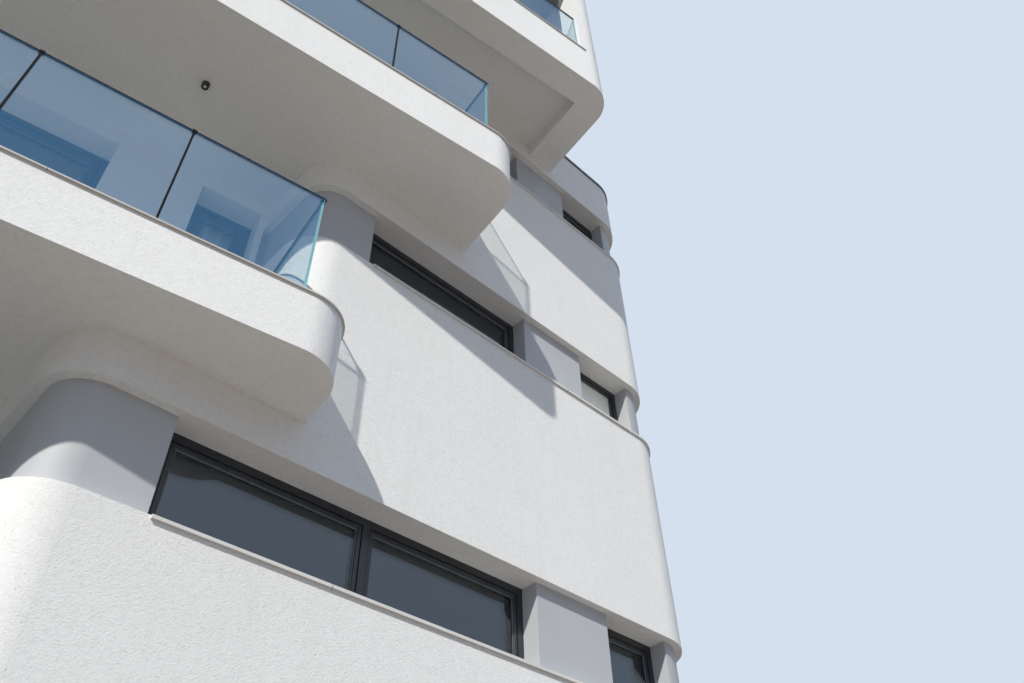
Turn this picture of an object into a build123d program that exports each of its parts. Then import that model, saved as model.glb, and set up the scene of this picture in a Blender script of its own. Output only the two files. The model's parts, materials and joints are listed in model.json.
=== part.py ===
from build123d import *
import math
import os

os.makedirs("parts", exist_ok=True)

# Apartment block. Millimetres, +Z up, street front towards -Y, origin at the middle of the ground footprint.

# Storeys and levels
storey_height = 3000
slab_thickness = 300
plinth_height = 300
lower_storeys = 4
sill_above_floor = 1638
head_above_floor = 2367

# Footprint of the four lower storeys: two wings, splayed back, beside a recess that widens storey by storey
half_width = 8740
block_depth = 13000
wing_splay = 8
wing_corner_from_front = 1527
recess_wall_from_front = 1760
recess_half_width = 1650
recess_step = 1228
outer_corner_radius = 500
recess_corner_radius = 350

# Walls
wall_thickness = 300
panel_setback = 70
frame_setback = 232
frame_depth = 70
frame_width = 60
glass_thickness = 24
pane_width = 1600

# Ribbon windows of a wing front: the corner panel starts at the recess, the rest at the side corner
corner_panel_width = 835
corner_panel_step = 80
pier_from_side = 2070
small_window_from_side = 1230
small_window_width = 790
narrowest_window = 300

# Ribbon windows of the sides and the rear, with the panels at the ends of each wall and between its windows
side_windows = 2
side_end_panel = 1786
side_middle_panel = 1700
rear_windows = 4
rear_end_panel = 740
rear_middle_panel = 1200

# Sills and copings
sill_thickness = 22
sill_overhang = 18
coping_height = 12
coping_overhang = 16
roof_coping_height = 40

# Balconies, each one wider and further forward than the one below
balcony_count = 3
balcony_past_recess = 142
balcony_past_step = 172
balcony_front_setback = 385
balcony_front_step = 130
balcony_corner_radius = 330
first_upstand_height = 110
upstand_step = 85
upstand_width = 150
end_kerb_width = 440
rail_glass_thickness = 16
rail_top_above_floor = 1262
rail_glass_inset = 60
rail_pane_width = 1040
rail_gap = 14

# Top storey, a wider volume that overhangs the recess
top_half_width = 7260
top_rear_setback = 1540
top_corner_radius = 345
downstand_height = 186
downstand_front_width = 330
downstand_end_width = 385
top_side_end_panel = 1100
top_side_middle_panel = 1000
top_rear_windows = 3
top_rear_end_panel = 1350
loggia_sill_above_floor = 340
loggia_bays = 3
loggia_pier_width = 440
loggia_end_pier_width = 460
loggia_coping_past = 70
wing_parapet_height = 220
roof_parapet_height = 400

# Glazed openings at the back of the recess and of the loggia
door_head_below_ceiling = 150
wide_door_near = 350
wide_door_far = 2590
narrow_door_near = 3350
narrowest_door = 400
door_end_margin = 60
loggia_door_margin = 450
entrance_width = 2200
entrance_leaf_width = 960
leaf_stile = 110
leaf_thickness = 50

# Entrance steps
step_count = 2
tread_depth = 300
landing_depth = 900
landing_below_floor = 20
steps_past_entrance = 180

# Ceiling lamps under the two upper balconies
lamp_radius = 31
lamp_height = 54
lamp_from_end = 2830
lamp_from_front = 870

# How near its place a corner must lie to be taken for it
pick_tolerance = 1

# Worked out from the sizes above
front_y = -block_depth / 2
rear_y = block_depth / 2
wing_corner_y = front_y + wing_corner_from_front
recess_wall_y = front_y + recess_wall_from_front
cos_splay = math.cos(math.radians(wing_splay))
sin_splay = math.sin(math.radians(wing_splay))
strip_height = head_above_floor - sill_above_floor
door_height = storey_height - slab_thickness - door_head_below_ceiling
top_rear_y = rear_y - top_rear_setback


def floor_z(level):
    """Height of a storey's floor above the ground."""
    return plinth_height + level * storey_height


def wing_point(from_side, depth=0):
    """Plan point on the right wing's front, so far from the side corner and so deep behind the face."""
    x = half_width - from_side * cos_splay - depth * sin_splay
    y = wing_corner_y - from_side * sin_splay + depth * cos_splay
    return (x, y)


def mirrored(points):
    """The same plan points on the left of the block, in reverse order."""
    return [(-x, y) for x, y in reversed(points)]


def recess_corner_x(level):
    """Distance from the middle of the block to the corner where a storey's recess begins."""
    return recess_half_width + level * recess_step


def recess_corner(level):
    """The same corner's distance from the side corner, along the wing front."""
    return (half_width - recess_corner_x(level)) / cos_splay


def first_window(level):
    """Distance from the side corner to the far jamb of a wing's first ribbon window."""
    return recess_corner(level) - (corner_panel_width - level * corner_panel_step)


def recess_end(level):
    """Plan point where the return wall of a storey's recess meets the wall at its back."""
    corner_x, corner_y = wing_point(recess_corner(level))
    run = (recess_wall_y - corner_y) / cos_splay
    return (corner_x - run * sin_splay, recess_wall_y)


def storey_outline(level, inset=0):
    """Plan of a lower storey with its rounded corners, moved inwards by the inset."""
    tip = wing_point(recess_corner(level))
    right = [recess_end(level), tip, (half_width, wing_corner_y), (half_width, rear_y)]
    with BuildSketch(mode=Mode.PRIVATE) as plan:
        with BuildLine():
            Polyline(*right, *mirrored(right), close=True)
        make_face()
        outer = [v for v in plan.vertices() if abs(abs(v.X) - half_width) < pick_tolerance]
        fillet(outer, outer_corner_radius)
        tips = [v for v in plan.vertices() if math.dist((abs(v.X), v.Y), tip) < pick_tolerance]
        fillet(tips, recess_corner_radius)
        if inset:
            offset(amount=-inset, kind=Kind.INTERSECTION)
    return plan.sketch


def top_outline(inset=0):
    """Plan of the top storey with rounded corners, moved inwards by the inset."""
    with BuildSketch(mode=Mode.PRIVATE) as plan:
        with Locations((0, (front_y + top_rear_y) / 2)):
            RectangleRounded(2 * top_half_width, top_rear_y - front_y, top_corner_radius)
        if inset:
            offset(amount=-inset, kind=Kind.INTERSECTION)
    return plan.sketch


def balcony_half(number):
    """Half the width of a balcony. The first one is above the ground storey."""
    return recess_corner_x(number + 1) + balcony_past_recess + number * balcony_past_step


def balcony_front(number):
    """Where the front edge of a balcony lies."""
    return front_y + balcony_front_setback - number * balcony_front_step


def upstand_height(number):
    """Height of a balcony's upstand above its floor."""
    return first_upstand_height + number * upstand_step


def balcony_outline(number, inset=0):
    """Plan of a balcony from its front to the wall at the back of the recess."""
    half = balcony_half(number)
    front = balcony_front(number)
    with BuildSketch(mode=Mode.PRIVATE) as plan:
        with Locations((0, (front + recess_wall_y) / 2)):
            Rectangle(2 * half, recess_wall_y - front)
        fillet(plan.vertices().group_by(Axis.Y)[0], balcony_corner_radius)
        if inset:
            offset(amount=-inset, kind=Kind.INTERSECTION)
    return plan.sketch


def balcony_floor(number):
    """Plan of the clear floor inside the upstand of a balcony."""
    front = balcony_front(number) + upstand_width
    with BuildSketch(mode=Mode.PRIVATE) as plan:
        with Locations((0, (front + recess_wall_y) / 2)):
            Rectangle(2 * (balcony_half(number) - end_kerb_width), recess_wall_y - front)
    return plan.sketch


def recess_back(level):
    """Plan of the wall at the back of a storey's recess."""
    half = recess_end(level)[0]
    with BuildSketch(mode=Mode.PRIVATE) as plan:
        with Locations((0, recess_wall_y + wall_thickness / 2)):
            Rectangle(2 * half, wall_thickness)
    return plan.sketch


def recess_zone(level):
    """Plan of everything between the first ribbon windows of the two wings."""
    start = first_window(level)
    right = [wing_point(start, recess_wall_from_front), wing_point(start, -recess_wall_from_front)]
    with BuildSketch(mode=Mode.PRIVATE) as plan:
        with BuildLine():
            Polyline(*right, *mirrored(right), close=True)
        make_face()
    return plan.sketch


def save(builder, name):
    """Label a finished piece and write it as its own STEP file."""
    builder.part.label = name
    export_step(builder.part, "parts/" + name + ".step")


def wall_plane(point, outward, height):
    """Upright plane on a wall's face: x runs along the wall, y up and z outwards."""
    facing = Vector(math.cos(math.radians(outward)), math.sin(math.radians(outward)), 0)
    return Plane(origin=(point[0], point[1], height), x_dir=Vector(0, 0, 1).cross(facing), z_dir=facing)


def spread(start, end, count, end_panel, middle_panel):
    """Middles and width of equal openings along a wall, from the panels at its ends and between them."""
    width = (end - start - 2 * end_panel - (count - 1) * middle_panel) / count
    middles = [start + end_panel + width / 2 + index * (width + middle_panel) for index in range(count)]
    return middles, width


def strip_windows(level):
    """Plane and width of each ribbon window of a lower storey, on both wings, the sides and the rear."""
    middle = floor_z(level) + (sill_above_floor + head_above_floor) / 2
    small_window_near = small_window_from_side - small_window_width
    spans = [(first_window(level), pier_from_side), (small_window_from_side, small_window_near)]
    windows = []
    for far, near in spans:
        if far - near < narrowest_window:
            continue
        x, y = wing_point((far + near) / 2)
        windows.append((wall_plane((x, y), wing_splay - 90, middle), far - near))
        windows.append((wall_plane((-x, y), -90 - wing_splay, middle), far - near))
    places, width = spread(wing_corner_y, rear_y, side_windows, side_end_panel, side_middle_panel)
    for y in places:
        windows.append((wall_plane((half_width, y), 0, middle), width))
        windows.append((wall_plane((-half_width, y), 180, middle), width))
    places, width = spread(-half_width, half_width, rear_windows, rear_end_panel, rear_middle_panel)
    for x in places:
        windows.append((wall_plane((x, rear_y), 90, middle), width))
    return windows


def top_windows():
    """Plane and width of each ribbon window of the top storey, on its sides and rear."""
    middle = top_floor + (sill_above_floor + head_above_floor) / 2
    side_start = recess_wall_y + wall_thickness
    windows = []
    places, width = spread(side_start, top_rear_y, side_windows, top_side_end_panel, top_side_middle_panel)
    for y in places:
        windows.append((wall_plane((top_half_width, y), 0, middle), width))
        windows.append((wall_plane((-top_half_width, y), 180, middle), width))
    places, width = spread(-top_half_width, top_half_width, top_rear_windows,
                           top_rear_end_panel, rear_middle_panel)
    for x in places:
        windows.append((wall_plane((x, top_rear_y), 90, middle), width))
    return windows


def loggia_openings():
    """Middles and width of the openings in the front of the top storey."""
    return spread(-top_half_width, top_half_width, loggia_bays, loggia_end_pier_width, loggia_pier_width)


def recess_doors(level):
    """Plane and width of each glazed opening in the wall at the back of a recess."""
    middle = floor_z(level) + door_height / 2
    end = recess_end(level)[0] - door_end_margin
    spans = [(wide_door_near, min(wide_door_far, end))]
    if end - narrow_door_near > narrowest_door:
        spans.append((narrow_door_near, end))
    openings = []
    for near, far in spans:
        for side in (-1, 1):
            plane = wall_plane((side * (near + far) / 2, recess_wall_y), -90, middle)
            openings.append((plane, far - near))
    return openings


def loggia_doors():
    """Plane and width of each glazed opening in the wall at the back of the loggia."""
    middle = top_floor + door_height / 2
    places, width = loggia_openings()
    return [(wall_plane((x, recess_wall_y), -90, middle), width - 2 * loggia_door_margin) for x in places]


def cut_openings(openings, height):
    """Cut window or door openings through the wall that is being built."""
    for plane, width in openings:
        with BuildSketch(plane, mode=Mode.PRIVATE) as opening:
            Rectangle(width, height)
        extrude(opening.sketch, amount=wall_thickness + panel_setback, both=True, mode=Mode.SUBTRACT)


def pane_count(width):
    """Number of panes side by side in a frame of this width."""
    return max(1, round(width / pane_width))


def pane_size(width, height):
    """Clear width and height of one pane inside its frame."""
    count = pane_count(width)
    return ((width - (count + 1) * frame_width) / count, height - 2 * frame_width)


def add_frames(openings, height):
    """Add a window frame with its mullions to each opening."""
    for plane, width in openings:
        count = pane_count(width)
        clear_width, clear_height = pane_size(width, height)
        with BuildSketch(plane.offset(-frame_setback), mode=Mode.PRIVATE) as frame:
            Rectangle(width, height)
            with GridLocations(clear_width + frame_width, 0, count, 1):
                Rectangle(clear_width, clear_height, mode=Mode.SUBTRACT)
        extrude(frame.sketch, amount=-frame_depth)


def add_panes(openings, height):
    """Add the glass of each opening, in the middle of its frame."""
    for plane, width in openings:
        count = pane_count(width)
        clear_width, clear_height = pane_size(width, height)
        glass_plane = plane.offset(-frame_setback - (frame_depth - glass_thickness) / 2)
        with BuildSketch(glass_plane, mode=Mode.PRIVATE) as glass:
            with GridLocations(clear_width + frame_width, 0, count, 1):
                Rectangle(clear_width, clear_height)
        extrude(glass.sketch, amount=-glass_thickness)


def add_side_lights(height, mode=Mode.ADD):
    """Draw the two side lights of the entrance, left and right of its door."""
    width = (entrance_width - entrance_leaf_width) / 2 - 2 * frame_width
    middle = (entrance_leaf_width + width) / 2 + frame_width
    with Locations((-middle, 0), (middle, 0)):
        Rectangle(width, height, mode=mode)


def entrance_plane():
    """Plane on the face of the wall in which the entrance sits, at the middle of its opening."""
    return wall_plane((0, recess_wall_y), -90, floor_z(0) + door_height / 2)


def add_entrance_frame():
    """Add the frame of the entrance: two side lights with the door between them."""
    clear_height = door_height - 2 * frame_width
    with BuildSketch(entrance_plane().offset(-frame_setback), mode=Mode.PRIVATE) as frame:
        Rectangle(entrance_width, door_height)
        Rectangle(entrance_leaf_width, clear_height, mode=Mode.SUBTRACT)
        add_side_lights(clear_height, Mode.SUBTRACT)
    extrude(frame.sketch, amount=-frame_depth)


def add_entrance_panes():
    """Add the glass of the side lights and of the entrance door."""
    clear_height = door_height - 2 * frame_width
    glass_plane = entrance_plane().offset(-frame_setback - (frame_depth - glass_thickness) / 2)
    with BuildSketch(glass_plane, mode=Mode.PRIVATE) as glass:
        Rectangle(entrance_leaf_width - 2 * leaf_stile, clear_height - 2 * leaf_stile)
        add_side_lights(clear_height)
    extrude(glass.sketch, amount=-glass_thickness)


def add_rail_panes(start, end):
    """Draw a row of balustrade panes with open joints between two places along a line."""
    count = max(1, round((end - start) / rail_pane_width))
    pitch = (end - start) / count
    with Locations(((start + end) / 2, 0)):
        with GridLocations(pitch, 0, count, 1):
            Rectangle(pitch - rail_gap, rail_glass_thickness)


def add_ring(outer, inner, low, high):
    """Add the wall between two plans, from one height to another."""
    with BuildSketch(Plane.XY.offset(low), mode=Mode.PRIVATE) as ring:
        add(outer)
        add(inner, mode=Mode.SUBTRACT)
    extrude(ring.sketch, amount=high - low)


last = lower_storeys - 1
top_floor = floor_z(lower_storeys)
roof_level = floor_z(lower_storeys + 1)
bay_middles, bay_width = loggia_openings()
bay_places = [(x, 0) for x in bay_middles]

# Plinth: the ground floor plate, which carries the walls of the ground storey
with BuildPart() as plinth:
    with BuildSketch():
        add(storey_outline(0))
    extrude(amount=plinth_height)
save(plinth, "plinth")

# White bands: the lintel of one storey, the edge of the slab and the parapet of the storey above, in one
for level in range(lower_storeys):
    floor = floor_z(level)
    with BuildPart() as band:
        if level > 0:
            below = level - 1
            with BuildSketch(Plane.XY.offset(floor_z(below) + head_above_floor)):
                add(storey_outline(below))
                add(storey_outline(below, wall_thickness), mode=Mode.SUBTRACT)
                add(recess_back(below), mode=Mode.SUBTRACT)
            extrude(amount=storey_height - head_above_floor)
        with BuildSketch(Plane.XY.offset(floor)):
            add(storey_outline(level))
            add(storey_outline(level, wall_thickness), mode=Mode.SUBTRACT)
            add(recess_back(level), mode=Mode.SUBTRACT)
        extrude(amount=sill_above_floor)
        with BuildSketch(Plane.XY.offset(floor + sill_above_floor - sill_thickness)):
            add(storey_outline(level))
            add(storey_outline(level, wall_thickness), mode=Mode.SUBTRACT)
            add(recess_zone(level), mode=Mode.SUBTRACT)
        extrude(amount=sill_thickness, mode=Mode.SUBTRACT)
    save(band, "band_" + str(level))

# Crown band: the lintel of the last lower storey and the parapet round the roofs of the wings
with BuildPart() as crown:
    with BuildSketch(Plane.XY.offset(floor_z(last) + head_above_floor)):
        add(storey_outline(last))
        add(storey_outline(last, wall_thickness), mode=Mode.SUBTRACT)
        add(recess_back(last), mode=Mode.SUBTRACT)
    extrude(amount=storey_height - head_above_floor)
    with BuildSketch(Plane.XY.offset(top_floor)):
        add(storey_outline(last))
        add(storey_outline(last, wall_thickness), mode=Mode.SUBTRACT)
        add(top_outline(), mode=Mode.SUBTRACT)
    extrude(amount=wing_parapet_height)
save(crown, "crown_band")

# Floor slabs, each inside the walls of the storey that carries it
for level in range(1, lower_storeys + 1):
    with BuildPart() as slab:
        with BuildSketch(Plane.XY.offset(floor_z(level) - slab_thickness)):
            add(storey_outline(level - 1, wall_thickness))
        extrude(amount=slab_thickness)
    save(slab, "floor_slab_" + str(level))

# Walls at the back of the recess, with the entrance below and glazed doors above
for level in range(lower_storeys):
    with BuildPart() as back_wall:
        with BuildSketch(Plane.XY.offset(floor_z(level))):
            add(recess_back(level))
        extrude(amount=storey_height)
        cut_openings(recess_doors(level) if level else [(entrance_plane(), entrance_width)], door_height)
    save(back_wall, "recess_wall_" + str(level))

# Grey panels between the ribbon windows, set back behind the white bands
for level in range(lower_storeys):
    with BuildPart() as panels:
        with BuildSketch(Plane.XY.offset(floor_z(level) + sill_above_floor)):
            add(storey_outline(level, panel_setback))
            add(storey_outline(level, wall_thickness), mode=Mode.SUBTRACT)
            add(recess_back(level), mode=Mode.SUBTRACT)
        extrude(amount=strip_height)
        cut_openings(strip_windows(level), strip_height)
    save(panels, "grey_panels_" + str(level))

# Window and door frames with their glass, storey by storey
for level in range(lower_storeys):
    with BuildPart() as frames:
        add_frames(strip_windows(level), strip_height)
        if level:
            add_frames(recess_doors(level), door_height)
        else:
            add_entrance_frame()
    save(frames, "window_frames_" + str(level))
    with BuildPart() as panes:
        add_panes(strip_windows(level), strip_height)
        if level:
            add_panes(recess_doors(level), door_height)
        else:
            add_entrance_panes()
    save(panes, "window_glass_" + str(level))

# Metal sills, one round each storey from the first window of one wing to that of the other
with BuildPart() as sills:
    for level in range(lower_storeys):
        with BuildSketch(Plane.XY.offset(floor_z(level) + sill_above_floor - sill_thickness)):
            add(storey_outline(level, -sill_overhang))
            add(storey_outline(level, wall_thickness), mode=Mode.SUBTRACT)
            add(recess_zone(level), mode=Mode.SUBTRACT)
        extrude(amount=sill_thickness)
    with BuildSketch(Plane.XY.offset(floor_z(lower_storeys) + sill_above_floor - sill_thickness)):
        add(top_outline(-sill_overhang))
        add(top_outline(wall_thickness), mode=Mode.SUBTRACT)
        with Locations((0, front_y)):
            Rectangle(2 * half_width, 2 * (recess_wall_y - front_y), mode=Mode.SUBTRACT)
    extrude(amount=sill_thickness)
save(sills, "window_sills")

# Balconies: a slab with rounded ends and an upstand along its edge
for number in range(balcony_count):
    level = number + 1
    with BuildPart() as balcony:
        with BuildSketch(Plane.XY.offset(floor_z(level) - slab_thickness)):
            add(balcony_outline(number))
            add(storey_outline(level - 1), mode=Mode.SUBTRACT)
            add(recess_back(level - 1), mode=Mode.SUBTRACT)
        extrude(amount=slab_thickness)
        with BuildSketch(Plane.XY.offset(floor_z(level))):
            add(balcony_outline(number))
            add(storey_outline(level), mode=Mode.SUBTRACT)
            add(balcony_floor(number), mode=Mode.SUBTRACT)
        extrude(amount=upstand_height(number))
    save(balcony, "balcony_slab_" + str(level))

# Copings on the upstands of the balconies and under the openings of the loggia
with BuildPart() as balcony_copings:
    for number in range(balcony_count):
        level = number + 1
        with BuildSketch(Plane.XY.offset(floor_z(level) + upstand_height(number))):
            add(balcony_outline(number, -coping_overhang))
            add(storey_outline(level), mode=Mode.SUBTRACT)
            add(balcony_floor(number), mode=Mode.SUBTRACT)
        extrude(amount=coping_height)
    with BuildSketch(Plane.XY.offset(top_floor + loggia_sill_above_floor)):
        with Locations((0, front_y + (wall_thickness - coping_overhang) / 2)):
            with Locations(*bay_places):
                Rectangle(bay_width, wall_thickness + coping_overhang)
        with Locations((0, front_y - coping_overhang / 2)):
            with Locations(*bay_places):
                Rectangle(bay_width + 2 * loggia_coping_past, coping_overhang)
    extrude(amount=coping_height)
save(balcony_copings, "balcony_copings")

# Glass balustrades: panes along the front and one return at each end, standing on the coping
for number in range(balcony_count):
    level = number + 1
    half_rail = balcony_half(number) - end_kerb_width + rail_glass_inset
    front = balcony_front(number) + rail_glass_inset
    base = upstand_height(number) + coping_height
    with BuildPart() as rail:
        with BuildSketch(Plane.XY.offset(floor_z(level) + base)):
            with Locations((0, front)):
                add_rail_panes(-half_rail, half_rail)
            for side in (-1, 1):
                start = front + rail_glass_thickness / 2 + rail_gap
                with Locations((side * (half_rail - rail_glass_thickness / 2), (start + recess_wall_y) / 2)):
                    Rectangle(rail_glass_thickness, recess_wall_y - start)
            add(storey_outline(level, -rail_gap), mode=Mode.SUBTRACT)
        extrude(amount=rail_top_above_floor - base)
    save(rail, "balcony_glass_" + str(level))

# Top storey: the overhanging floor with its downstand edge, seen from below as a coffer
with BuildPart() as soffit:
    with BuildSketch(Plane.XY.offset(top_floor - slab_thickness)):
        add(top_outline())
        add(storey_outline(last), mode=Mode.SUBTRACT)
        add(recess_back(last), mode=Mode.SUBTRACT)
        with Locations((0, rear_y)):
            Rectangle(2 * half_width, 2 * (rear_y - recess_wall_y), mode=Mode.SUBTRACT)
    extrude(amount=slab_thickness)
    with BuildSketch(Plane.XY.offset(top_floor - slab_thickness - downstand_height)):
        add(top_outline())
        with Locations((0, front_y + downstand_front_width)):
            coffer_width = 2 * (top_half_width - downstand_end_width)
            Rectangle(coffer_width, block_depth, align=(Align.CENTER, Align.MIN), mode=Mode.SUBTRACT)
        add(storey_outline(last), mode=Mode.SUBTRACT)
        with Locations((0, rear_y)):
            Rectangle(2 * half_width, 2 * (rear_y - recess_wall_y), mode=Mode.SUBTRACT)
    extrude(amount=downstand_height)
save(soffit, "top_soffit")

# Top storey wall with the loggia openings, the strip for the ribbon windows and the roof parapet
with BuildPart() as top_wall:
    add_ring(top_outline(), top_outline(wall_thickness), top_floor, roof_level + roof_parapet_height)
    with BuildSketch(Plane.XY.offset(top_floor + loggia_sill_above_floor)):
        with Locations((0, front_y)):
            with Locations(*bay_places):
                Rectangle(bay_width, 2 * (wall_thickness + coping_overhang))
    extrude(amount=head_above_floor - loggia_sill_above_floor, mode=Mode.SUBTRACT)
    with BuildSketch(Plane.XY.offset(top_floor + sill_above_floor - sill_thickness)):
        with Locations((0, (recess_wall_y + rear_y) / 2)):
            Rectangle(2 * half_width, rear_y - recess_wall_y)
    extrude(amount=strip_height + sill_thickness, mode=Mode.SUBTRACT)
save(top_wall, "top_wall")

with BuildPart() as loggia_wall:
    with BuildSketch(Plane.XY.offset(top_floor)):
        with Locations((0, recess_wall_y + wall_thickness / 2)):
            Rectangle(2 * (top_half_width - wall_thickness), wall_thickness)
    extrude(amount=storey_height - slab_thickness)
    cut_openings(loggia_doors(), door_height)
save(loggia_wall, "loggia_wall")

with BuildPart() as top_panels:
    with BuildSketch(Plane.XY.offset(top_floor + sill_above_floor)):
        add(top_outline(panel_setback))
        add(top_outline(wall_thickness), mode=Mode.SUBTRACT)
        with Locations((0, front_y)):
            Rectangle(2 * half_width, 2 * (recess_wall_y - front_y), mode=Mode.SUBTRACT)
    extrude(amount=strip_height)
    cut_openings(top_windows(), strip_height)
save(top_panels, "grey_panels_top")

with BuildPart() as top_frames:
    add_frames(top_windows(), strip_height)
    add_frames(loggia_doors(), door_height)
save(top_frames, "window_frames_top")

with BuildPart() as top_panes:
    add_panes(top_windows(), strip_height)
    add_panes(loggia_doors(), door_height)
save(top_panes, "window_glass_top")

# Loggia balustrades: a row of panes in each opening, on its coping
with BuildPart() as loggia_glass:
    with BuildSketch(Plane.XY.offset(top_floor + loggia_sill_above_floor + coping_height)):
        with Locations((0, front_y + rail_glass_inset)):
            with Locations(*bay_places):
                add_rail_panes(-bay_width / 2, bay_width / 2)
    extrude(amount=rail_top_above_floor - loggia_sill_above_floor - coping_height)
save(loggia_glass, "loggia_glass")

# Roof slab inside the parapet
with BuildPart() as roof_slab:
    with BuildSketch(Plane.XY.offset(roof_level - slab_thickness)):
        add(top_outline(wall_thickness))
    extrude(amount=slab_thickness)
save(roof_slab, "roof_slab")

# Copings on the parapets of the roof and of the wings
with BuildPart() as roof_copings:
    add_ring(top_outline(-coping_overhang), top_outline(wall_thickness + coping_overhang),
             roof_level + roof_parapet_height, roof_level + roof_parapet_height + roof_coping_height)
    with BuildSketch(Plane.XY.offset(top_floor + wing_parapet_height)):
        add(storey_outline(last, -coping_overhang))
        add(storey_outline(last, wall_thickness + coping_overhang), mode=Mode.SUBTRACT)
        add(top_outline(), mode=Mode.SUBTRACT)
    extrude(amount=roof_coping_height)
save(roof_copings, "roof_copings")

# Entrance door: a leaf of stiles and rails round its glass, in the middle of the entrance frame
with BuildPart() as entrance:
    leaf_height = door_height - 2 * frame_width
    with BuildSketch(entrance_plane().offset(-frame_setback - (frame_depth - leaf_thickness) / 2)):
        Rectangle(entrance_leaf_width, leaf_height)
        Rectangle(entrance_leaf_width - 2 * leaf_stile, leaf_height - 2 * leaf_stile, mode=Mode.SUBTRACT)
    extrude(amount=-leaf_thickness)
save(entrance, "entrance_door")

# Entrance steps: a landing in front of the door and the treads that lead down from it
with BuildPart() as steps:
    for step in range(step_count):
        depth = landing_depth + step * tread_depth
        with BuildSketch():
            with Locations((0, recess_wall_y - depth / 2)):
                Rectangle(entrance_width + 2 * steps_past_entrance, depth)
        extrude(amount=(plinth_height - landing_below_floor) * (1 - step / step_count))
save(steps, "entrance_steps")

# Round ceiling lamps under the two upper balconies
with BuildPart() as lamps:
    for number in range(1, balcony_count):
        ceiling = floor_z(number + 1) - slab_thickness
        from_middle = balcony_half(number) - lamp_from_end
        lamp_y = front_y + lamp_from_front
        with BuildSketch(Plane.XY.offset(ceiling)):
            with Locations((-from_middle, lamp_y), (from_middle, lamp_y)):
                Circle(lamp_radius)
        extrude(amount=-lamp_height)
save(lamps, "ceiling_lamps")
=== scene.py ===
import bpy, bmesh, json, math, random
from mathutils import Vector, Matrix


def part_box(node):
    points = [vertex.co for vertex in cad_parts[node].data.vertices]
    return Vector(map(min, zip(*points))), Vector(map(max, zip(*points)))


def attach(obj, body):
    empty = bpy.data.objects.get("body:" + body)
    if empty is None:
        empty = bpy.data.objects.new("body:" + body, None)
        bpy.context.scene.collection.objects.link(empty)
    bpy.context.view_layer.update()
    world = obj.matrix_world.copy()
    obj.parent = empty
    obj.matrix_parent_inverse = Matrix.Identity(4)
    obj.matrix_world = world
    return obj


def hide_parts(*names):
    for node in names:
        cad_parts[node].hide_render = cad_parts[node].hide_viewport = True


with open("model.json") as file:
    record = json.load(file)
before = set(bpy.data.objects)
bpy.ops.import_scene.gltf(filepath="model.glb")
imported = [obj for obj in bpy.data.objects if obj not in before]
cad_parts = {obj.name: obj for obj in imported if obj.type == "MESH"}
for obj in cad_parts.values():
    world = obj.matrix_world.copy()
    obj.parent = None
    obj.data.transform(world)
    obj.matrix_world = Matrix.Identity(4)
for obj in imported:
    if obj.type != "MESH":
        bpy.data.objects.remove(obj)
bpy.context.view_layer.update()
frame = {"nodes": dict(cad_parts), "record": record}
nodes = frame["nodes"]
print("frame loaded:", len(nodes), "nodes")

right, inward, up = Vector((1, 0, 0)), Vector((0, 1, 0)), Vector((0, 0, 1))  # seen from the street
storeys = ("0", "1", "2", "3", "top")


# camera, low in front of the block and looking steeply up at its right half
view = {
    "place": (2.84, -9.99, 2.4),      # metres, in the frame
    "heading": -37.45,                # degrees from +X to the level line towards the right of the picture
    "pitch": 44.04,                   # degrees above the horizon
    "roll": -1.85,
    "sensor": 36,                     # millimetres
    "lens": 29.49,
    "reach": 400,                     # metres
}


def makeCamera(settings):
    heading, pitch, roll = (math.radians(settings[key]) for key in ("heading", "pitch", "roll"))
    levelRight = Vector((math.cos(heading), math.sin(heading), 0))
    levelAhead = Vector((-math.sin(heading), math.cos(heading), 0))
    ahead = levelAhead * math.cos(pitch) + up * math.sin(pitch)
    upright = levelAhead * -math.sin(pitch) + up * math.cos(pitch)
    sideways = levelRight * math.cos(roll) + upright * math.sin(roll)
    overhead = upright * math.cos(roll) - levelRight * math.sin(roll)
    turn = Matrix((sideways, overhead, -ahead)).transposed()
    data = bpy.data.cameras.new("camera")
    data.sensor_width = settings["sensor"]
    data.lens = settings["lens"]
    data.clip_end = settings["reach"]
    camera = bpy.data.objects.new("camera", data)
    camera.matrix_world = Matrix.Translation(settings["place"]) @ turn.to_4x4()
    bpy.context.scene.collection.objects.link(camera)
    bpy.context.scene.camera = camera


makeCamera(view)
print("camera placed")


# shader building: a socket that takes part in sums, and one method for every other node
class Wire:
    def __init__(self, tree, socket):
        self.tree, self.socket = tree, socket

    def maths(self, operation, first, second):
        return Shader(self.tree).maths(operation, first, second)

    def __add__(self, other): return self.maths("ADD", self, other)
    def __radd__(self, other): return self.maths("ADD", other, self)
    def __sub__(self, other): return self.maths("SUBTRACT", self, other)
    def __rsub__(self, other): return self.maths("SUBTRACT", other, self)
    def __mul__(self, other): return self.maths("MULTIPLY", self, other)
    def __rmul__(self, other): return self.maths("MULTIPLY", other, self)
    def __pow__(self, other): return self.maths("POWER", self, other)
    def __gt__(self, other): return self.maths("GREATER_THAN", self, other)
    def __lt__(self, other): return self.maths("LESS_THAN", self, other)


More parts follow.
